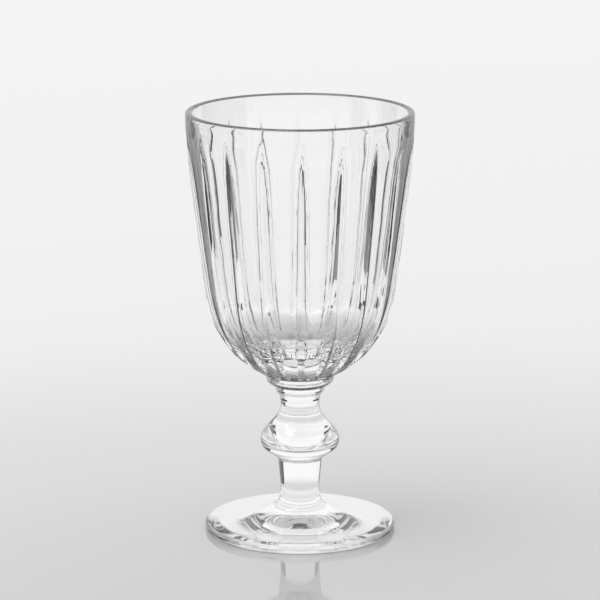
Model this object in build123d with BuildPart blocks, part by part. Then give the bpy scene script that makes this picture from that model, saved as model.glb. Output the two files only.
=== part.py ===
from build123d import *
import math
import os

# A pressed glass water goblet, in millimetres. It stands on z = 0 with its axis on Z,
# and one ridge of the bowl points along -Y. Six bodies of glass are stacked on one
# another and fused face to face, so the heights below add up to the goblet's height.

# Foot: a domed disc that flares up into the stem
foot_radius = 37.0
foot_height = 14.7
foot_edge_height = 3.3
foot_edge_rounding = 1.4
foot_ring_width = 5.0
foot_dish_depth = 1.1

# Stem: the short shaft, narrowest just above the foot
stem_height = 12.9
stem_base_radius = 7.7
stem_waist_radius = 7.6
stem_top_radius = 8.45

# Knop: a rounded diamond under a concave neck
knop_height = 26.7
knop_radius = 15.3
neck_radius = 7.55
neck_top_radius = 8.2

# Ring under the collar
ring_height = 3.1
ring_radius = 9.4
ring_top_radius = 9.0

# Collar: the button of glass that the bowl stands on
collar_height = 4.3
collar_radius = 13.2

# Bowl
bowl_height = 103.3
bowl_base_radius = 13.0
rim_radius = 43.8
rim_wall = 2.8
rim_band_height = 2.7
lip_rounding = 1.3
floor_thickness = 9.0
flute_count = 18
flute_hollow_radius = 26.0
flute_run_out = 10.0
ridge_width = 1.3
section_count = 16

# How far a cut runs past the face that it opens
overrun = 1.0

# Where each body starts
stem_z = foot_height
knop_z = stem_z + stem_height
ring_z = knop_z + knop_height
collar_z = ring_z + ring_height
bowl_z = collar_z + collar_height
goblet_height = bowl_z + bowl_height

# The ridge line, which is the bowl's outside where a ridge runs, from the base up to the
# lip: each row holds the share of the way from the base radius to the rim radius, and the
# share of the bowl's height.
ridge_line_shares = [
    (0.000, 0.000),
    (0.236, 0.042),
    (0.396, 0.081),
    (0.523, 0.129),
    (0.626, 0.177),
    (0.702, 0.232),
    (0.764, 0.303),
    (0.815, 0.409),
    (0.872, 0.545),
    (0.936, 0.701),
    (0.984, 0.847),
    (1.000, 1.000),
]

# The bowl's inside, from the middle of its floor to the mouth: each row holds the share
# of the mouth radius and the share of the cavity's depth.
cavity_shares = [
    (0.000, 0.000),
    (0.300, 0.012),
    (0.545, 0.050),
    (0.695, 0.110),
    (0.780, 0.200),
    (0.835, 0.330),
    (0.885, 0.500),
    (0.940, 0.720),
    (0.985, 0.900),
    (1.000, 1.000),
]

# The knop's outside between the neck and the lower flank: shares of the way from the
# neck radius to the knop radius, and shares of the knop's height.
knop_upper_shares = [
    (0.03, 0.770),
    (0.21, 0.660),
    (0.56, 0.540),
]
knop_equator_share = 0.315
knop_shoulder_shares = (0.88, 0.420)
knop_flank_shares = (0.90, 0.205)
neck_share = 0.885

# The foot's upper side between the flare and the edge: shares of the way from the stem's
# radius to the foot's edge, and shares of the way from the edge up to the stem.
foot_top_shares = [
    (0.010, 0.810),
    (0.045, 0.600),
    (0.125, 0.440),
    (0.300, 0.315),
    (0.640, 0.160),
]


def hollow_radius(ridge_radius):
    """Return the radius of a flute's hollow, which shrinks with the bowl."""
    return flute_hollow_radius * ridge_radius / rim_radius


def flute_depth(height, ridge_radius):
    """Return how far the middle of a flute lies inside the ridge circle at a height.

    The depth leaves a ridge of the named width between two flutes, and runs out to
    nothing under the plain band.
    """
    half_width = math.pi * ridge_radius / flute_count - ridge_width / 2
    full_depth = half_width**2 / 2 * (1 / ridge_radius + 1 / hollow_radius(ridge_radius))
    run = min((bowl_z + fluted_height - height) / flute_run_out, 1)
    return full_depth * math.sin(run * math.pi / 2)


# Bowl: a turned body with one turned cavity, and flutes cut by a round cutter that
# follows the ridge line from under the base to the plain band. The lip is rounded inside
# and out, as by a flame.
fluted_height = bowl_height - rim_band_height
mouth_radius = rim_radius - rim_wall
cavity_depth = bowl_height - floor_thickness
cavity_z = bowl_z + floor_thickness
ridge_points = []
for radius_share, height_share in ridge_line_shares:
    ridge_radius = bowl_base_radius + radius_share * (rim_radius - bowl_base_radius)
    ridge_points.append((ridge_radius, bowl_z + height_share * bowl_height))

with BuildLine(Plane.XZ) as ridge_line:
    Spline(*ridge_points)

# The cutter's places: how far out its near side is, and how high
ridge_start = ridge_line.line @ 0 - (ridge_line.line % 0) * overrun
cutter_places = [(ridge_start.X - flute_depth(bowl_z, bowl_base_radius), ridge_start.Z)]
for index in range(section_count):
    ridge_point = ridge_line.line @ (index / section_count * fluted_height / bowl_height)
    cutter_radius = ridge_point.X - flute_depth(ridge_point.Z, ridge_point.X)
    cutter_places.append((cutter_radius, ridge_point.Z))
cutter_places.append((rim_radius, bowl_z + fluted_height))
cutter_places.append((rim_radius + overrun, goblet_height))

with BuildPart() as flute_cutter:
    for near_radius, height in cutter_places:
        with BuildSketch(Plane.XY.offset(height)):
            with Locations((near_radius + hollow_radius(near_radius), 0)):
                Circle(hollow_radius(near_radius))
    loft()

with BuildPart() as bowl:
    with BuildSketch(Plane.XZ):
        with BuildLine():
            outer_wall = Spline(*ridge_points)
            Polyline(outer_wall @ 1, (0, goblet_height), (0, bowl_z), outer_wall @ 0)
        make_face()
    revolve(axis=Axis.Z)
    with BuildSketch(Plane.XZ):
        with BuildLine():
            wall_points = []
            for radius_share, depth_share in cavity_shares:
                wall_radius = mouth_radius * radius_share
                wall_points.append((wall_radius, cavity_z + cavity_depth * depth_share))
            inner_wall = Spline(*wall_points, tangents=[(1, 0), (0, 1)])
            Polyline(inner_wall @ 1, (0, goblet_height), inner_wall @ 0)
        make_face()
    revolve(axis=Axis.Z, mode=Mode.SUBTRACT)
    lip_face = bowl.faces().filter_by(GeomType.PLANE).sort_by(Axis.Z)[-1]
    fillet(lip_face.edges(), radius=min(lip_rounding, rim_wall * 0.48))
    with PolarLocations(0, flute_count, start_angle=180 / flute_count - 90):
        add(flute_cutter.part, mode=Mode.SUBTRACT)

bowl.part.label = "bowl"

# Collar: flat on top where the bowl stands, with a rounded underside
with BuildPart() as collar:
    with BuildSketch(Plane.XZ):
        with BuildLine():
            Line((0, collar_z), (ring_top_radius, collar_z))
            underside = Spline(
                (ring_top_radius, collar_z),
                (collar_radius * 0.90, collar_z + collar_height * 0.25),
                (collar_radius, collar_z + collar_height * 0.75),
                tangents=[(1, 0), (0, 1)],
            )
            Line(underside @ 1, (bowl_base_radius, bowl_z))
            Polyline((bowl_base_radius, bowl_z), (0, bowl_z), (0, collar_z))
        make_face()
    revolve(axis=Axis.Z)

collar.part.label = "collar"

# Ring: a smaller bead between the collar and the neck
with BuildPart() as collar_ring:
    with BuildSketch(Plane.XZ):
        with BuildLine():
            Line((0, ring_z), (neck_top_radius, ring_z))
            ThreePointArc(
                (neck_top_radius, ring_z),
                (ring_radius, ring_z + ring_height * 0.55),
                (ring_top_radius, collar_z),
            )
            Polyline((ring_top_radius, collar_z), (0, collar_z), (0, ring_z))
        make_face()
    revolve(axis=Axis.Z)

collar_ring.part.label = "collar_ring"


def knop_point(radius_share, height_share):
    """Return a point of the knop's outline in the XZ plane."""
    radius = neck_radius + radius_share * (knop_radius - neck_radius)
    return (radius, knop_z + height_share * knop_height)


# Knop: a concave neck that swells into the knop, a round equator, and a straight lower
# flank that ends in a sharp crease on the stem
with BuildPart() as knop:
    with BuildSketch(Plane.XZ):
        with BuildLine():
            shoulder = knop_point(*knop_shoulder_shares)
            flank_start = knop_point(*knop_flank_shares)
            upper_points = [knop_point(*shares) for shares in knop_upper_shares]
            Spline(
                (neck_top_radius, ring_z),
                (neck_radius, knop_z + neck_share * knop_height),
                *upper_points,
                shoulder,
            )
            ThreePointArc(shoulder, knop_point(1, knop_equator_share), flank_start)
            Line(flank_start, (stem_top_radius, knop_z))
            Polyline((stem_top_radius, knop_z), (0, knop_z), (0, ring_z), (neck_top_radius, ring_z))
        make_face()
    revolve(axis=Axis.Z)

knop.part.label = "knop"

# Stem: a short shaft with a slight waist
with BuildPart() as stem:
    with BuildSketch(Plane.XZ):
        with BuildLine():
            Spline(
                (stem_base_radius, stem_z),
                (stem_waist_radius, stem_z + stem_height * 0.2),
                ((stem_waist_radius + stem_top_radius) / 2, stem_z + stem_height * 0.62),
                (stem_top_radius, knop_z),
            )
            Polyline((stem_top_radius, knop_z), (0, knop_z), (0, stem_z), (stem_base_radius, stem_z))
        make_face()
    revolve(axis=Axis.Z)

stem.part.label = "stem"

# Foot: a flare and a gently domed top, a rounded edge, and a shallow dish underneath, so
# that it rests on a flat ring
with BuildPart() as foot:
    with BuildSketch(Plane.XZ):
        with BuildLine():
            edge_radius = foot_radius - foot_edge_rounding
            top_points = []
            for radius_share, height_share in foot_top_shares:
                top_radius = stem_base_radius + radius_share * (edge_radius - stem_base_radius)
                rise = height_share * (foot_height - foot_edge_height)
                top_points.append((top_radius, foot_edge_height + rise))
            Spline((stem_base_radius, stem_z), *top_points, (edge_radius, foot_edge_height))
            ThreePointArc(
                (edge_radius, foot_edge_height),
                (foot_radius, foot_edge_height / 2),
                (edge_radius, 0),
            )
            ring_inner_radius = edge_radius - foot_ring_width
            Line((edge_radius, 0), (ring_inner_radius, 0))
            Spline(
                (ring_inner_radius, 0),
                (ring_inner_radius * 0.75, foot_dish_depth * 0.7),
                (0, foot_dish_depth),
                tangents=[(-1, 0), (-1, 0)],
            )
            Polyline((0, foot_dish_depth), (0, stem_z), (stem_base_radius, stem_z))
        make_face()
    revolve(axis=Axis.Z)

foot.part.label = "foot"

os.makedirs("parts", exist_ok=True)
for body in (bowl, collar, collar_ring, knop, stem, foot):
    export_step(body.part, f"parts/{body.part.label}.step")

print("goblet height", round(goblet_height, 2))
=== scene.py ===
# %% [markdown]
# # A pressed glass water goblet
#
# This lesson dresses a goblet whose six bodies of glass already exist as plain solids.
# Each body is modelled again, finely enough for light to bend through it properly, and is
# given a real glass. A goblet is a good exercise, because clear glass has no colour of its
# own: all that the eye sees is what stands round it, bent by the shape.

# %% Load the frame
import math

import bpy
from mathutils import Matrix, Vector


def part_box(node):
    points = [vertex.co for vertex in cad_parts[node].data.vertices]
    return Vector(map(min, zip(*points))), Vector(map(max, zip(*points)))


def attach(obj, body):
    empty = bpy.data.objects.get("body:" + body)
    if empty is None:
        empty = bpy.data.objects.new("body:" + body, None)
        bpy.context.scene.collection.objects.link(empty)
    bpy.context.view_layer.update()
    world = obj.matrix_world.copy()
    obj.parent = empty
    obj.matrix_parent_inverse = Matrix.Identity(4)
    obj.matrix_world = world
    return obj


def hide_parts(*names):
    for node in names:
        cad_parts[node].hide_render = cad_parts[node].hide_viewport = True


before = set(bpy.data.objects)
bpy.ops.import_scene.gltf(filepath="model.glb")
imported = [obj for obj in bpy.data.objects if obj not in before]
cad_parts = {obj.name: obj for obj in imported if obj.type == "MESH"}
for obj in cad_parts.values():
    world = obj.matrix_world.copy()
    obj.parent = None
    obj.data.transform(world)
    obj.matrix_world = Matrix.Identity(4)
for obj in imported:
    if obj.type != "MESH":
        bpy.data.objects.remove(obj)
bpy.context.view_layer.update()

MM = 0.001

# %% [markdown]
# The solids say where everything goes. A box holds a body's lowest and highest corners, so
# its height says where one body ends and the next one begins. The levels could be typed in,
# but read from the solids they can't drift away from them. Blender counts in metres, and MM
# turns millimetres into metres. The radii are in millimetres, as the outlines further down
# are, and each is shared by the two bodies that meet there.

# %% Measure the solids
def body_levels(node):
    """Return the height of a body's bottom and of its top."""
    low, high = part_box(node)
    return low[2], high[2]


FOOT_Z, STEM_Z = body_levels("foot")
KNOP_Z, RING_Z = body_levels("knop")
COLLAR_Z, BOWL_Z = body_levels("collar")
RIM_Z = body_levels("bowl")[1]
STEM_BASE_RADIUS = 7.7
STEM_TOP_RADIUS = 8.45
NECK_TOP_RADIUS = 8.2
RING_TOP_RADIUS = 9.0
BOWL_BASE_RADIUS = 13.0
LEVELS = (FOOT_Z, STEM_Z, KNOP_Z, RING_Z, COLLAR_Z, BOWL_Z, RIM_Z)
print("levels in mm", [round(level / MM, 2) for level in LEVELS])

# %% [markdown]
# Every body here was turned or pressed round an axis, so half of its outline is all that
# has to be drawn. It could be a row of straight edges, but a Bezier curve through a few
# measured points stays round at any fineness. A smooth point gets automatic handles, and a
# sharp crease gets vector handles. A level point gets handles along X, so that the surface
# passes over the axis without a peak, and an upright one gets handles along Z, so that a
# straight wall runs into a rounding without a bulge.

# %% A helper that draws half an outline
HANDLE_WAYS = {"level": Vector((1, 0, 0)), "upright": Vector((0, 0, 1))}


def deselect_all():
    """Deselect every object."""
    bpy.ops.object.select_all(action="DESELECT")


def draw_outline(name, points, steps):
    """Draw an outline in the XZ plane as a chain of edges, with some steps between points.

    Each point is (radius, height, kind) in millimetres. The kind is smooth, crease, level
    or upright.
    """
    deselect_all()
    bpy.ops.curve.primitive_bezier_curve_add(location=(0, 0, 0))
    outline = bpy.context.object
    outline.name = name
    spline = outline.data.splines[0]
    spline.bezier_points.add(len(points) - 2)
    spline.resolution_u = steps
    knots = spline.bezier_points
    for knot, (radius, height, kind) in zip(knots, points):
        knot.co = (radius * MM, 0, height * MM)
        knot.handle_left_type = knot.handle_right_type = "VECTOR" if kind == "crease" else "AUTO"
    for index, knot in enumerate(knots):
        kind = points[index][2]
        if kind not in HANDLE_WAYS:
            continue
        knot.handle_left_type = knot.handle_right_type = "FREE"
        for side, neighbour in (("handle_left", index - 1), ("handle_right", index + 1)):
            if 0 <= neighbour < len(points):
                reach = (knots[neighbour].co - knot.co) / 3
                setattr(knot, side, knot.co + reach * HANDLE_WAYS[kind])
    bpy.ops.object.convert(target="MESH")
    return bpy.context.object


# %% [markdown]
# A glass maker turns hot glass, and the Spin operator does the same with an outline: it
# copies it round the Z axis. The Screw modifier could do that too, but Spin can also turn
# it through a part of the circle, which the bowl needs. The points on the axis, and the
# ones where the turn closes, come out double, so they are merged. A spin can leave the
# faces pointing in, and glass with its faces turned round bends light the wrong way, so
# the normals are recalculated on the merged, closed body.

# %% Helpers that spin an outline into a body
MERGE_DISTANCE = 0.001 * MM
OUTLINE_STEPS = 10
TURN_STEPS = 160


def spin(turns, as_copies=False):
    """Spin the whole active piece about the Z axis, one turn after another.

    Each turn holds its count of steps and its angle. Each goes on from where the last one
    ended. As copies, the steps aren't joined by faces.
    """
    bpy.ops.object.mode_set(mode="EDIT")
    bpy.ops.mesh.select_all(action="SELECT")
    for steps, angle in turns:
        bpy.ops.mesh.spin(steps=steps, angle=angle, dupli=as_copies,
                          center=(0, 0, 0), axis=(0, 0, 1))
    bpy.ops.object.mode_set(mode="OBJECT")


def close_body(piece, crease_angle=32):
    """Merge doubled points, turn the faces outwards and shade the piece smooth."""
    bpy.ops.object.mode_set(mode="EDIT")
    bpy.ops.mesh.select_all(action="SELECT")
    bpy.ops.mesh.remove_doubles(threshold=MERGE_DISTANCE)
    bpy.ops.mesh.select_all(action="SELECT")
    bpy.ops.mesh.normals_make_consistent(inside=False)
    bpy.ops.mesh.select_all(action="DESELECT")
    bpy.ops.mesh.select_non_manifold()
    bpy.ops.object.mode_set(mode="OBJECT")
    open_edges = sum(edge.select for edge in piece.data.edges)
    bpy.ops.object.shade_smooth_by_angle(angle=math.radians(crease_angle))
    print(piece.name, len(piece.data.polygons), "faces,", open_edges, "open edges")


def turned_body(name, points):
    """Model a round body from half its outline."""
    piece = draw_outline(name, points, OUTLINE_STEPS)
    spin([(TURN_STEPS, math.tau)])
    close_body(piece)
    return piece


# %% [markdown]
# The foot of a pressed goblet is a domed disc, a little thicker in the middle, with an edge
# rounded in the fire and a shallow dish under it. The dish leaves a ring to stand on, so
# that the glass doesn't rock. A flattened cylinder with a bevel would have the size, but
# light would show that its dome is missing. The outline starts at the middle of the dish
# and ends at the middle of the face that is joined to the stem.

# %% Model the foot
foot_top = STEM_Z / MM
foot = turned_body("foot_piece", [
    (0, 1.1, "level"), (12, 0.98, "smooth"), (22.95, 0.77, "smooth"), (30.6, 0, "crease"),
    (35.6, 0, "level"), (36.58, 0.47, "smooth"), (37.0, 1.65, "smooth"),
    (36.58, 2.83, "smooth"), (35.6, 3.3, "smooth"), (25.56, 5.124, "smooth"),
    (16.07, 6.891, "smooth"), (11.19, 8.316, "smooth"), (8.956, 10.14, "smooth"),
    (7.979, 12.53, "smooth"), (STEM_BASE_RADIUS, foot_top, "crease"), (0, foot_top, "crease"),
])

# %% [markdown]
# The stem is a short shaft with a slight waist, which comes from pulling the hot glass. It
# could be a plain cylinder, but the waist is what bends the light into one bright middle.

# %% Model the stem
stem_bottom, stem_top = STEM_Z / MM, KNOP_Z / MM
stem = turned_body("stem_piece", [
    (0, stem_bottom, "crease"), (STEM_BASE_RADIUS, stem_bottom, "crease"),
    (7.6, stem_bottom + 2.58, "smooth"), (8.03, stem_bottom + 8.0, "smooth"),
    (STEM_TOP_RADIUS, stem_top, "crease"), (0, stem_top, "crease"),
])

# %% [markdown]
# The knop is the swelling that the fingers hold. Its widest part lies low, its lower flank
# runs straight down to the stem, and above it the glass sweeps up into a narrow neck. A
# scaled sphere would be too even. The first points, close together, draw the crease on
# the stem, which the fire has rounded a little.

# %% Model the knop
knop_bottom, knop_top = KNOP_Z / MM, RING_Z / MM
knop = turned_body("knop_piece", [
    (0, knop_bottom, "crease"), (STEM_TOP_RADIUS, knop_bottom, "upright"),
    (8.52, knop_bottom + 0.35, "smooth"), (8.8, knop_bottom + 0.8, "smooth"),
    (9.3, knop_bottom + 1.25, "smooth"), (12.0, knop_bottom + 3.4, "smooth"),
    (14.525, knop_bottom + 5.47, "smooth"), (15.3, knop_bottom + 8.41, "smooth"),
    (14.37, knop_bottom + 11.21, "smooth"), (11.89, knop_bottom + 14.42, "smooth"),
    (9.18, knop_bottom + 17.62, "smooth"), (7.78, knop_bottom + 20.56, "smooth"),
    (7.55, knop_bottom + 23.63, "smooth"), (NECK_TOP_RADIUS, knop_top, "crease"),
    (0, knop_top, "crease"),
])

# %% [markdown]
# Two flattened beads lead from the neck to the bowl: a small ring and the wider collar. A
# glass maker drops them on as hot bits of glass, and the creases between them stay sharp.
# They could be two tori, but a torus is round underneath too, and these are sunk into
# each other.

# %% Model the ring and the collar
ring_bottom, ring_top = RING_Z / MM, COLLAR_Z / MM
collar_ring = turned_body("collar_ring_piece", [
    (0, ring_bottom, "crease"), (NECK_TOP_RADIUS, ring_bottom, "crease"),
    (9.13, ring_bottom + 0.8, "smooth"), (9.4, ring_bottom + 1.7, "smooth"),
    (RING_TOP_RADIUS, ring_top, "crease"), (0, ring_top, "crease"),
])

collar_bottom, collar_top = COLLAR_Z / MM, BOWL_Z / MM
collar = turned_body("collar_piece", [
    (0, collar_bottom, "crease"), (RING_TOP_RADIUS, collar_bottom, "crease"),
    (10.7, collar_bottom + 0.3, "smooth"), (11.88, collar_bottom + 1.08, "smooth"),
    (12.85, collar_bottom + 2.15, "smooth"), (13.2, collar_bottom + 3.22, "smooth"),
    (BOWL_BASE_RADIUS, collar_top, "crease"), (0, collar_top, "crease"),
])

# %% [markdown]
# The bowl is pressed between a fluted mould and a smooth plunger, so it is fluted outside
# and round inside. The flutes could be cut with a boolean, but that leaves long thin faces
# which glass shows as scratches. They are all alike, so only one of them is modelled: the
# outline is spun through a single flute's share of the turn, the flute is pushed in, and
# the panel is then copied round. The outline runs from the base up the ridge, over a lip
# that the fire has melted to a dome, and down the inside to the middle of the floor.

# %% Draw the bowl's outline
BOWL_STEPS = 5
FLOOR_THICKNESS = 9.0
base = BOWL_Z / MM
rim = RIM_Z / MM
RIDGE_POINTS = [
    (BOWL_BASE_RADIUS, 0), (16.57, 2), (20.21, 4.3), (22.93, 6.3), (25.23, 8.4),
    (27.27, 10.8), (29.09, 13.3), (30.8, 15.8), (32.29, 18.3), (33.54, 21), (34.63, 24),
    (35.66, 27.5), (36.53, 31.3), (38.1, 42.2), (39.86, 56.3), (41.83, 72.4),
    (43.31, 87.5), (43.75, 96),
]
LIP_POINTS = [
    (43.8, rim - 0.9, "upright"), (43.4, rim - 0.28, "smooth"), (42.4, rim, "level"),
    (41.4, rim - 0.28, "smooth"), (41.0, rim - 0.9, "upright"),
]
INSIDE_POINTS = [
    (40.38, 93.9), (38.54, 76.9), (36.29, 56.2), (34.23, 40.1), (31.99, 27.9),
    (28.51, 19.4), (22.32, 13.7), (12.3, 10.13),
]
bowl_outline = [(0, base, "crease"), (BOWL_BASE_RADIUS, base, "crease")]
bowl_outline += [(radius, base + height, "smooth") for radius, height in RIDGE_POINTS[1:]]
bowl_outline += LIP_POINTS
bowl_outline += [(radius, base + height, "smooth") for radius, height in INSIDE_POINTS]
bowl_outline += [(0, base + FLOOR_THICKNESS, "level")]
bowl = draw_outline("bowl_piece", bowl_outline, BOWL_STEPS)
print("bowl outline", len(bowl.data.vertices), "points")

# %% [markdown]
# Only the outer wall may be pushed in, so its points go into a vertex group before the
# spin, which passes the group on to every copy. The spin runs in three turns, with narrow
# steps near both ridges, where the surface bends most, and wide ones across the middle.

# %% Spin one flute's share of the bowl
FLUTES = 18
FLUTE_TURN = math.tau / FLUTES
PANEL_TURNS = [(12, 0.24), (6, 0.52), (12, 0.24)]
NEAR_AXIS = 10 * MM
outer_wall = bowl.vertex_groups.new(name="outer_wall")
wall_end = (len(RIDGE_POINTS) + 1) * BOWL_STEPS
outer_wall.add(list(range(BOWL_STEPS, wall_end + 1)), 1.0, "REPLACE")
bpy.ops.object.mode_set(mode="EDIT")
bpy.ops.mesh.select_all(action="SELECT")
bpy.ops.transform.rotate(value=FLUTE_TURN / 2, orient_axis="Z", center_override=(0, 0, 0))
bpy.ops.object.mode_set(mode="OBJECT")
base_corner = bowl.data.vertices[BOWL_STEPS].co
start_angle = math.atan2(base_corner.y, base_corner.x)
spin([(steps, math.copysign(share * FLUTE_TURN, start_angle)) for steps, share in PANEL_TURNS])
angles = [math.degrees(math.atan2(vertex.co.y, vertex.co.x))
          for vertex in bowl.data.vertices if vertex.co.x > NEAR_AXIS]
print("panel from", round(min(angles), 2), "to", round(max(angles), 2), "degrees")

# %% [markdown]
# A flute of this goblet is a broad panel, rounder than a plane cut and flatter than the
# wall, that lies a little deeper than the ridges. A short plane slope leads up from it to
# the ridge on each side, and two slopes meet in a crest, as between two facets of cut
# glass. The panels are deepest where the bowl starts to narrow. Towards the rim they fade
# out, and a plain band is left for the lips. A round hollow would be simpler to work out,
# but it bends the light into twice as many lines.

# %% Measure how deep the flute lies
BAND_HEIGHT = 2.7 * MM
SLOPE = math.tan(math.radians(34))
PLANE_SHARE = 0.4
FULL_PLANE_DEPTH = 0.6
CORNER_ROUNDING = 0.25 * MM
RIDGE_SHARE = 0.999
SMOOTHING_STEPS = (-3, -1.5, 0, 1.5, 3)
PANEL_DEPTHS = [
    (0, 0.25), (4.3, 0.7), (12, 1.35), (20, 1.75), (35, 1.6), (75, 1.3), (84, 1.0),
    (96, 0.0), (110, 0.0),
]


def panel_depth(height):
    """Return how deep a panel's edge lies, in millimetres, at a height above the base."""
    for (low, low_depth), (high, high_depth) in zip(PANEL_DEPTHS, PANEL_DEPTHS[1:]):
        if height <= high:
            share = max(height - low, 0) / (high - low)
            return low_depth + share * (high_depth - low_depth)
    return 0.0


def push_depth(point):
    """Return how far a point of the outer wall goes in along X, in metres."""
    half_panel = FLUTE_TURN / 2
    ridge_radius = math.hypot(point.x, point.y)
    direction = abs(math.atan2(point.y, point.x))
    height = (point.z - BOWL_Z) / MM
    if direction > RIDGE_SHARE * half_panel or point.z > RIM_Z - BAND_HEIGHT:
        return 0.0
    edge_depth = sum(panel_depth(height + step) for step in SMOOTHING_STEPS)
    edge_depth /= len(SMOOTHING_STEPS)
    plane_depth = ridge_radius * (1 - math.cos(half_panel) / math.cos(direction))
    plane_share = PLANE_SHARE * min(edge_depth / FULL_PLANE_DEPTH, 1)
    depth = edge_depth * MM + plane_share * plane_depth
    slope_depth = (half_panel - direction) * ridge_radius * SLOPE
    inward = (slope_depth + depth - math.hypot(slope_depth - depth, CORNER_ROUNDING)) / 2
    return point.x - math.sqrt((ridge_radius - max(inward, 0)) ** 2 - point.y ** 2)


print("panel edges in mm", [round(panel_depth(height), 2) for height in range(0, 100, 20)])

# %% [markdown]
# The Displace modifier moves each point along X, which is the way the panel's middle
# faces, by its weight in a vertex group. A weight of 1 means pushed in by the strength.

# %% Push the flute in
STRENGTH = 2.5 * MM
hollow = bowl.vertex_groups.new(name="hollow")
deepest = 0.0
for vertex in bowl.data.vertices:
    if any(member.group == outer_wall.index for member in vertex.groups):
        depth = push_depth(vertex.co)
        deepest = max(deepest, depth)
        hollow.add([vertex.index], min(depth / STRENGTH, 1.0), "REPLACE")
push = bowl.modifiers.new("flute", "DISPLACE")
push.direction = "X"
push.mid_level = 0.0
push.strength = -STRENGTH
push.vertex_group = "hollow"
bpy.ops.object.modifier_apply(modifier=push.name)
print("deepest flute", round(deepest / MM, 2), "mm")

# %% [markdown]
# The finished panel is copied round the axis by a spin that duplicates instead of joining,
# and the edges where two panels meet are merged. An Array modifier could copy it too, but
# it needs an empty to turn about. The first panel faces +X, so with 18 flutes a ridge
# faces the front, which is -Y. Two panels meet at a small angle, so a smaller crease angle
# is needed to keep the ridge between them sharp.

# %% Copy the panel round
RIDGE_CREASE_ANGLE = 9
spin([(FLUTES - 1, math.tau * (FLUTES - 1) / FLUTES)], as_copies=True)
bowl.vertex_groups.clear()
close_body(bowl, RIDGE_CREASE_ANGLE)

# %% [markdown]
# Materials are built from nodes. One small function adds a node with its settings and
# links, and another turns the hex colours that people read into the linear ones that
# Blender counts in. Hex colours could be typed in as numbers, but nobody could read them.

# %% Helpers for materials
def linear(hex_colour):
    """Turn an sRGB hex colour into linear RGBA."""
    channels = [int(hex_colour[start:start + 2], 16) / 255 for start in (1, 3, 5)]
    return [c / 12.92 if c <= 0.04045 else ((c + 0.055) / 1.055) ** 2.4 for c in channels] + [1.0]


def add_node(owner, kind, settings=None, inputs=None, stops=()):
    """Add a node to a material or world, set its properties, and fill or link its inputs.

    An input takes a value, a socket, or a node, which stands for its first output. The
    stops of a colour ramp hold a position and a hex colour each.
    """
    node = owner.node_tree.nodes.new(kind)
    for name, value in (settings or {}).items():
        setattr(node, name, value)
    for name, value in (inputs or {}).items():
        if isinstance(value, bpy.types.Node):
            value = value.outputs[0]
        if isinstance(value, bpy.types.NodeSocket):
            owner.node_tree.links.new(value, node.inputs[name])
        else:
            node.inputs[name].default_value = value
    if stops:
        elements = node.color_ramp.elements
        for element, (position, colour) in zip(elements, (stops[0], stops[-1])):
            element.position = position
            element.color = linear(colour)
        for position, colour in stops[1:-1]:
            elements.new(position).color = linear(colour)
    return node


def new_material(name):
    """Return a material with an empty node tree."""
    material = bpy.data.materials.new(name)
    material.use_nodes = True
    material.node_tree.nodes.clear()
    print("material", name)
    return material


# %% [markdown]
# The goblet is soda-lime glass, with an index of refraction of about 1.52. How it was
# shaped can be seen in it. The outside was pressed against iron and then fire-polished,
# which leaves it glossy but very gently uneven, with a hair-thin line where the halves of
# the mould met. Waves and line could be modelled, but they are far finer than the mesh,
# so bump nodes tilt the surface instead. The bowl's and the stem's glass are painted
# darker where they are seen aslant: partly for the light that a longer way through the
# glass swallows, but mostly as painted shade that draws their dark edges. A volume that
# swallows light would give the first, but it leaks where a mesh has several materials,
# so a ramp over the slant paints the darkening instead.

# %% Pressed soda-lime glass
GLASS_IOR = 1.52
SEAM_DIRECTION = math.radians(35)
SEAM_HALF_WIDTH = 0.05 * MM
SEAM_FOOT = 0.35 * MM
CLEAR = "#FFFFFF"


def pressed_glass(name, wave_mm, wave_height_mm, seam_height_mm=0, colour=CLEAR, painted_edge_shade_stops=()):
    """Make soda-lime glass with slow waves and, if it has a height, a mould seam.

    The painted edge shade stops say how the glass is painted darker, as painted shade at its
    edges, from a square look at it to a slanting one.
    """
    material = new_material(name)
    place = add_node(material, "ShaderNodeTexCoord").outputs["Object"]
    waves = add_node(material, "ShaderNodeTexNoise", {"noise_dimensions": "3D"}, {
        "Vector": place, "Scale": 1 / (wave_mm * MM), "Detail": 1.5, "Roughness": 0.4,
    })
    normal = add_node(material, "ShaderNodeBump", None, {
        "Height": waves.outputs["Fac"], "Strength": 1.0, "Distance": wave_height_mm * MM,
    })
    if seam_height_mm:
        turned = add_node(material, "ShaderNodeMapping", None, {
            "Vector": place, "Rotation": (0, 0, -SEAM_DIRECTION),
        })
        across = add_node(material, "ShaderNodeSeparateXYZ", None, {"Vector": turned})
        distance = add_node(material, "ShaderNodeMath", {"operation": "ABSOLUTE"}, {
            0: across.outputs["X"],
        })
        line = add_node(material, "ShaderNodeMapRange", {"interpolation_type": "SMOOTHSTEP"}, {
            "Value": distance, "From Min": SEAM_HALF_WIDTH, "From Max": SEAM_FOOT,
            "To Min": 1.0, "To Max": 0.0,
        })
        normal = add_node(material, "ShaderNodeBump", None, {
            "Height": line, "Strength": 1.0, "Distance": seam_height_mm * MM,
            "Normal": normal,
        })
    shade = linear(colour)
    # painted shade: the Layer Weight ramp darkens the glass towards its edges
    if painted_edge_shade_stops:
        slant = add_node(material, "ShaderNodeLayerWeight", None, {"Blend": 0.5})
        shade = add_node(material, "ShaderNodeValToRGB", None, {
            "Fac": slant.outputs["Facing"],
        }, painted_edge_shade_stops)
    glass = add_node(material, "ShaderNodeBsdfPrincipled", None, {
        "Base Color": shade, "Transmission Weight": 1.0, "IOR": GLASS_IOR, "Roughness": 0.0,
        "Normal": normal,
    })
    add_node(material, "ShaderNodeOutputMaterial", None, {"Surface": glass})
    return material
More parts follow.
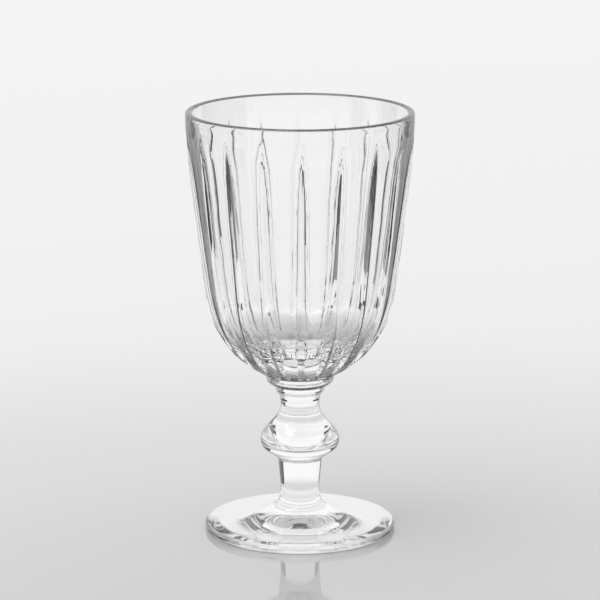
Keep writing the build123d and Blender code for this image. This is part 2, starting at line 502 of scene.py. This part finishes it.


# %% [markdown]
# Each body has the glass that its making gives. The fire reaches the bowl, the stem and the
# beads all round, and leaves long waves 30 mm apart. The foot keeps shorter waves and a
# plainer seam from its mould. The inside of the bowl was pressed by a cold plunger that
# chilled it first, so it is the waviest. The lip was melted last, and so much light bends
# away in its tight curve that it looks grey from all sides: that grey is painted shade,
# put into the lip glass's own colour. One glass for all would look cast from plastic.

# %% The goblet's glasses
# painted shade: the bowl's and the stem's glass darken towards their edges, the bowl's nearly to
# black
BOWL_GLASS = pressed_glass("fire_polished_bowl_glass", 30, 0.05, 0.03,
                           painted_edge_shade_stops=[(0.50, CLEAR), (0.64, "#606060"), (0.78, "#080808")])
STEM_GLASS = pressed_glass("fire_polished_stem_glass", 30, 0.05, 0.03,
                           painted_edge_shade_stops=[(0.64, CLEAR), (0.80, "#808080"), (0.93, "#181818")])
FOOT_GLASS = pressed_glass("foot_pressed_glass", 14, 0.04, 0.05)
INNER_GLASS = pressed_glass("plunger_pressed_glass", 16, 0.18)
# painted shade: the lip's grey is painted into its glass's own colour
LIP_GLASS = pressed_glass("fire_polished_lip_glass_with_painted_shade", 30, 0.05, colour="#3C3C3C")

# %% [markdown]
# Where two bodies were joined hot, there is no surface left between them, and light goes
# straight on from one into the other. The bodies could be merged into one mesh, but the
# pieces stay separate here, so the two faces that touch get a clear material that doesn't
# bend light at all.

# %% The fused joint
FUSED_JOINT = new_material("fused_glass_joint")
joint = add_node(FUSED_JOINT, "ShaderNodeBsdfTransparent", None, {"Color": linear(CLEAR)})
add_node(FUSED_JOINT, "ShaderNodeOutputMaterial", None, {"Surface": joint})

# %% [markdown]
# A face gets its material by its place and by the way it points. A joint face lies level
# where two bodies meet. A lip face lies within a hair of the rim. An inner face of the
# bowl points to the axis, or up from the floor.

# %% Dress the pieces
GLASS_FACE, JOINT_FACE, INNER_FACE, LIP_FACE = range(4)
JOINT_NEARNESS = 0.01 * MM
LIP_HEIGHT = 0.7 * MM
INNER_REACH = 41.2 * MM
INNER_START = 8 * MM
LEVEL_NORMAL = 0.99
FLOOR_NORMAL = 0.3


def dress(piece, glass, joint_levels, inner_glass=None, lip_glass=None):
    """Give a piece its glass and joint faces and, for the bowl, its inner wall and lip."""
    materials = [glass, FUSED_JOINT]
    if inner_glass:
        materials += [inner_glass, lip_glass]
    for material in materials:
        piece.data.materials.append(material)
    counts = [0] * len(materials)
    for face in piece.data.polygons:
        x, y, z = face.center
        on_joint = any(abs(z - level) < JOINT_NEARNESS for level in joint_levels)
        outward = x * face.normal.x + y * face.normal.y
        inside = math.hypot(x, y) < INNER_REACH and z > BOWL_Z + INNER_START
        if on_joint and abs(face.normal.z) > LEVEL_NORMAL:
            face.material_index = JOINT_FACE
        elif lip_glass and z > RIM_Z - LIP_HEIGHT:
            face.material_index = LIP_FACE
        elif inner_glass and inside and (outward < 0 or face.normal.z > FLOOR_NORMAL):
            face.material_index = INNER_FACE
        else:
            face.material_index = GLASS_FACE
        counts[face.material_index] += 1
    print(piece.name, "faces of glass, joint, inner wall and lip:", counts)


dress(foot, FOOT_GLASS, [STEM_Z])
dress(stem, STEM_GLASS, [STEM_Z, KNOP_Z])
dress(knop, STEM_GLASS, [KNOP_Z, RING_Z])
dress(collar_ring, STEM_GLASS, [RING_Z, COLLAR_Z])
dress(collar, STEM_GLASS, [COLLAR_Z, BOWL_Z])
dress(bowl, BOWL_GLASS, [BOWL_Z], INNER_GLASS, LIP_GLASS)

# %% [markdown]
# Each piece stands for its solid, and all of them ride on the one body that a goblet is.
# Joints could be given to them, but nothing in a goblet moves.

# %% Tie the pieces to the frame
PIECES = {
    "bowl": bowl, "collar": collar, "collar_ring": collar_ring,
    "knop": knop, "stem": stem, "foot": foot,
}
for node, piece in PIECES.items():
    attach(piece, "root")
    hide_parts(node)
    print(piece.name, "stands for", node)

# %% [markdown]
# The goblet stands on a pale table top with a hard lacquer, in which it is mirrored. The
# table is darker near the goblet and in front of it than further back, which lets the
# bright foot stand out. That darkening is painted shade: lamps could shade it, but they
# would light the glass too, so a colour ramp over the distance from the table's middle, a
# little in front of the goblet, paints it into the table's colour.

# %% The table
TABLE_RADIUS = 6.0
TABLE_MIDDLE = (0, -0.2, -0.0001)
TABLE_FADE = 1.7


def distance_ramp(material, reach, stops):
    """Colour by the distance from the object's middle: the stops count in shares of reach."""
    place = add_node(material, "ShaderNodeTexCoord").outputs["Object"]
    distance = add_node(material, "ShaderNodeVectorMath", {"operation": "LENGTH"}, {0: place})
    share = add_node(material, "ShaderNodeMath", {"operation": "DIVIDE"}, {
        0: distance.outputs["Value"], 1: reach,
    })
    return add_node(material, "ShaderNodeValToRGB", None, {"Fac": share}, stops)


deselect_all()
bpy.ops.mesh.primitive_circle_add(vertices=128, radius=TABLE_RADIUS, fill_type="NGON",
                                  location=TABLE_MIDDLE)
table = bpy.context.object
table.name = "table_top"
# painted shade: the table's colour darkens towards the goblet and in front of it
TABLE_LACQUER = new_material("pale_lacquered_table")
lacquer = add_node(TABLE_LACQUER, "ShaderNodeBsdfPrincipled", None, {
    "Base Color": distance_ramp(TABLE_LACQUER, TABLE_FADE, [
        (0.08, "#C0C0C0"), (0.13, "#C7C7C7"), (0.16, "#CCCCCC"), (0.20, "#CFCFCF"),
        (0.23, "#D6D6D6"), (0.275, "#DFDFDF"), (0.31, "#E5E5E5"), (0.35, "#E7E7E7"),
        (0.51, "#EDEDED"), (0.78, "#F5F5F5"), (0.98, "#FAFAFA"),
    ]),
    "Roughness": 0.04, "IOR": 2.2,
})
add_node(TABLE_LACQUER, "ShaderNodeOutputMaterial", None, {"Surface": lacquer})
table.data.materials.append(TABLE_LACQUER)
print(table.name, 2 * TABLE_RADIUS, "m across")

# %% [markdown]
# Clear glass is drawn by its dark edges. A photographer gets them from black cards that
# stand just outside the picture: where the glass bends light most, it shows a card. The
# cards here are hidden from the camera, the lamps and the table's gloss, so that only the
# glass shows them. Card is matt, so a plain diffuse colour is enough.

# %% Card and how it is shown
def matt_card(name, hex_colour):
    """Make matt card, which has no gloss worth showing."""
    material = new_material(name)
    paint = add_node(material, "ShaderNodeBsdfDiffuse", None, {"Color": linear(hex_colour)})
    add_node(material, "ShaderNodeOutputMaterial", None, {"Surface": paint})
    return material


BLACK_CARD = matt_card("black_card", "#101010")
DARK_CARD = matt_card("dark_grey_card", "#262626")
GREY_CARD = matt_card("grey_card", "#737373")
# painted light: the white underside of the painted shade ring
WHITE_UNDERSIDE = matt_card("painted_light_white_underside", "#FAFAFA")


def show_through_glass(thing):
    """Hide a stage piece from the camera, the lamps and the table: only glass shows it."""
    thing.visible_camera = thing.visible_diffuse = False
    thing.visible_glossy = thing.visible_shadow = False


def card_ring(name, material, inner, outer, level=0.0, height=0.0, corners=180):
    """Make a ring of card, flat between two radii, or a wall of some height at one radius."""
    deselect_all()
    bpy.ops.mesh.primitive_circle_add(vertices=corners, radius=outer, location=(0, 0, level))
    ring = bpy.context.object
    ring.name = name
    shrink = inner / outer
    bpy.ops.object.mode_set(mode="EDIT")
    bpy.ops.mesh.extrude_region_move(TRANSFORM_OT_translate={"value": (0, 0, height)})
    bpy.ops.transform.resize(value=(shrink, shrink, 1), center_override=(0, 0, level))
    bpy.ops.object.mode_set(mode="OBJECT")
    ring.data.materials.append(material)
    show_through_glass(ring)
    return ring


# %% [markdown]
# Black cards stand to the right and to the left of the goblet, grey ones lie at their feet,
# and dark ones lie close to the goblet's own foot. They draw the dark bands at the bowl's
# sides, the streaks on its ridges and the dark zones in the foot. The ring is left open
# straight in front and straight behind, so that the middle of the bowl stays bright. A
# whole ring of card would make the goblet black all over.

# %% Cards round the goblet
CARD_RADIUS = 0.50
CARD_LIFT = 0.0003
# The directions where each card starts and ends are in degrees from the front.
# For standing cards the height follows:
STANDING = [("right", 62, 139, 0.45), ("back_right", 139, 147, 0.06),
            ("back_left", 211, 219, 0.06), ("left", 219, 257, 0.30),
            ("front_left", 283, 300, 0.30)]
# For lying cards the inner and the outer radius follow:
LYING = [("right", 100, 147, 0.34, CARD_RADIUS), ("left", 241, 257, 0.34, CARD_RADIUS)]
NEAR = [("right", 85, 139, 0.06, 0.25), ("left", 240, 257, 0.06, 0.25)]


def keep_sector(ring, start, end):
    """Cut a ring of card down to the directions from start to end."""
    bpy.ops.object.mode_set(mode="EDIT")
    bpy.ops.mesh.select_all(action="DESELECT")
    bpy.ops.mesh.select_mode(type="FACE")
    bpy.ops.object.mode_set(mode="OBJECT")
    for face in ring.data.polygons:
        direction = math.degrees(math.atan2(face.center.x, -face.center.y))
        face.select = not any(start < direction + lap < end for lap in (0, 360))
    bpy.ops.object.mode_set(mode="EDIT")
    bpy.ops.mesh.delete(type="FACE")
    bpy.ops.mesh.select_mode(type="VERT")
    bpy.ops.object.mode_set(mode="OBJECT")
    print(ring.name, len(ring.data.polygons), "faces")


for side, start, end, height in STANDING:
    card = card_ring("standing_card_" + side, BLACK_CARD, CARD_RADIUS, CARD_RADIUS, height=height)
    keep_sector(card, start, end)
for side, start, end, inner, outer in LYING:
    card = card_ring("lying_card_" + side, GREY_CARD, inner, outer, level=CARD_LIFT)
    keep_sector(card, start, end)
for side, start, end, inner, outer in NEAR:
    card = card_ring("near_card_" + side, DARK_CARD, inner, outer, level=CARD_LIFT)
    keep_sector(card, start, end)

# %% [markdown]
# One more black card hangs over the goblet, as the dark ceiling of a studio does. It draws
# the fine dark lines in the knop and in the thick bottom of the bowl. The whole ceiling
# could be black, but that would darken the bowl's wall too.

# %% Card over the goblet
ROOF_RADIUS = 0.35
ROOF_HEIGHT = 0.45


def flat_disc(name, radius, height, material):
    """Lay a round disc at a height over the table, which only glass shows."""
    deselect_all()
    bpy.ops.mesh.primitive_circle_add(vertices=96, radius=radius, fill_type="NGON",
                                      location=(0, 0, height))
    disc = bpy.context.object
    disc.name = name
    disc.data.materials.append(material)
    show_through_glass(disc)
    print(name, round(2 * radius / MM), "mm across")


flat_disc("roof_card", ROOF_RADIUS, ROOF_HEIGHT, BLACK_CARD)

# %% [markdown]
# Low down the bowl's wall turns into a lens that looks steeply down past the stem, and the
# real goblet shows a soft grey there. A grey ring round the neck, which only the glass
# shows, gives that shade as painted shade, lighter towards its outer edge. The table under
# the goblet could be painted grey instead, but it would darken the foot. The ring is white
# underneath, a painted light that keeps the knop and the foot bright.

# %% Painted shade ring under the bowl
SHADE_RING_RADIUS = 0.085
SHADE_RING_HOLE = 0.016
SHADE_RING_HEIGHT = 0.060
SHADE_RING_THICKNESS = 0.2 * MM
SHADE_RING_CORNERS = 96
# painted shade: a grey ring that only the glass shows, lighter towards its edge
PAINTED_SHADE_RING = new_material("painted_shade_ring")
ring_shade = add_node(PAINTED_SHADE_RING, "ShaderNodeBsdfDiffuse", None, {
    "Color": distance_ramp(PAINTED_SHADE_RING, SHADE_RING_RADIUS, [
        (0.19, "#D8D8D8"), (0.60, "#DADADA"), (0.72, "#DEDEDE"), (0.82, "#E6E6E6"),
        (0.92, "#F1F1F1"), (1.0, "#F8F8F8"),
    ]),
})
add_node(PAINTED_SHADE_RING, "ShaderNodeOutputMaterial", None, {"Surface": ring_shade})
# the top is painted shade, the white underside painted light
for name, level, material in (
        ("painted_shade_ring_top", SHADE_RING_HEIGHT, PAINTED_SHADE_RING),
        ("painted_light_ring_underside", SHADE_RING_HEIGHT - SHADE_RING_THICKNESS, WHITE_UNDERSIDE)):
    shade_ring = card_ring(name, material, SHADE_RING_HOLE, SHADE_RING_RADIUS, level, corners=SHADE_RING_CORNERS)
    print(name, len(shade_ring.data.polygons), "faces")

# %% [markdown]
# Real glass gathers light on the table behind and under it. Path tracing could find that
# light, but only with far more samples, so a pale disc that only the glass shows stands in
# for it: a painted pool of light, with painted shade in a darker ring round the foot. It
# lies just over the table, and glows instead of being lit.

# %% Light gathered on the table
POOL_RADIUS = 0.32
POOL_HEIGHT = -0.05 * MM
GATHERED_LIGHT = new_material("gathered_light")
# painted light that glows, with painted shade in a darker ring round the foot
glow = add_node(GATHERED_LIGHT, "ShaderNodeEmission", None, {
    "Color": distance_ramp(GATHERED_LIGHT, POOL_RADIUS, [
        (0.0, "#E6E6E6"), (0.114, "#E6E6E6"), (0.13, "#D8D8D8"), (0.23, "#D8D8D8"),
        (0.38, "#FCFCFC"), (1.0, "#F2F2F2"),
    ]),
    "Strength": 1.0,
})
add_node(GATHERED_LIGHT, "ShaderNodeOutputMaterial", None, {"Surface": glow})
flat_disc("light_pool", POOL_RADIUS, POOL_HEIGHT, GATHERED_LIGHT)

# %% [markdown]
# The room is one pale, even light. What the camera, the gloss and the glass see of it is a
# little brighter than what it sheds, so that the background comes out nearly white while
# the table keeps the shadow. A backdrop could do that too, but it would throw light of
# its own on the goblet.

# %% The room
ROOM_STRENGTH = 0.80
SEEN_STRENGTH = 1.07
world = bpy.data.worlds.new("pale_room")
bpy.context.scene.world = world
world.use_nodes = True
world.node_tree.nodes.clear()
room = add_node(world, "ShaderNodeBackground", None, {
    "Color": linear(CLEAR), "Strength": ROOM_STRENGTH,
})
seen = add_node(world, "ShaderNodeBackground", None, {
    "Color": linear("#F5F5F5"), "Strength": SEEN_STRENGTH,
})
rays = add_node(world, "ShaderNodeLightPath")
is_seen = rays.outputs["Is Camera Ray"]
for kind in ("Is Glossy Ray", "Is Transmission Ray"):
    is_seen = add_node(world, "ShaderNodeMath", {"operation": "ADD", "use_clamp": True}, {
        0: is_seen, 1: rays.outputs[kind],
    })
mix = add_node(world, "ShaderNodeMixShader", None, {"Fac": is_seen, 1: room, 2: seen})
add_node(world, "ShaderNodeOutputWorld", None, {"Surface": mix})
print("room", ROOM_STRENGTH, "seen as", SEEN_STRENGTH)

# %% [markdown]
# One large soft lamp over the goblet, a little to the left, gives the glass its highlights
# and the foot its shadow. A small lamp would give hard sparks that the real goblet doesn't
# show.

# %% The lamp
LAMP_PLACE = Vector((-0.5, -0.2, 1.6))
LAMP_AIM = Vector((0, 0, 0.08))
deselect_all()
bpy.ops.object.light_add(type="AREA", location=LAMP_PLACE)
lamp = bpy.context.object
lamp.name = "overhead_softbox"
lamp.data.shape = "SQUARE"
lamp.data.size = 1.0
lamp.data.energy = 8
lamp.rotation_euler = (LAMP_AIM - LAMP_PLACE).to_track_quat("-Z", "Y").to_euler()
lamp.visible_camera = False
print(lamp.name, lamp.data.energy, "W")

# %% [markdown]
# The camera stands where the photographer's did: a little above the rim, looking down by
# 13 degrees, with a long lens that keeps the goblet's sides nearly parallel. A camera
# could be placed by eye, but this one was worked out from the rim's and the foot's
# ellipses.

# %% Camera
CAMERA_DISTANCE = 1.15407
CAMERA_HEIGHT = 0.35702
CAMERA_DROP = 12.9785
CAMERA_TURN = -1.0
deselect_all()
bpy.ops.object.camera_add(
    location=(CAMERA_DISTANCE * math.sin(math.radians(CAMERA_TURN)),
              -CAMERA_DISTANCE * math.cos(math.radians(CAMERA_TURN)), CAMERA_HEIGHT),
    rotation=(math.radians(90 - CAMERA_DROP), 0, math.radians(CAMERA_TURN)),
)
camera = bpy.context.object
camera.data.lens = 184.25
camera.data.sensor_width = 36
bpy.context.scene.camera = camera
print("camera lens", round(camera.data.lens, 2), "mm")

# %% [markdown]
# Light crosses many walls of glass on its way through a goblet, so the paths have to be
# long, or the thick glass would turn black. The view transform is plain, so that a colour
# comes out as it was written.

# %% Light paths and colour
GLASS_BOUNCES = 24
GLOSSY_BOUNCES = 12
cycles = bpy.context.scene.cycles
cycles.max_bounces = GLASS_BOUNCES
cycles.transmission_bounces = GLASS_BOUNCES
cycles.transparent_max_bounces = GLASS_BOUNCES
cycles.glossy_bounces = GLOSSY_BOUNCES
bpy.context.scene.view_settings.view_transform = "Standard"
print("paths of up to", GLASS_BOUNCES, "bounces")
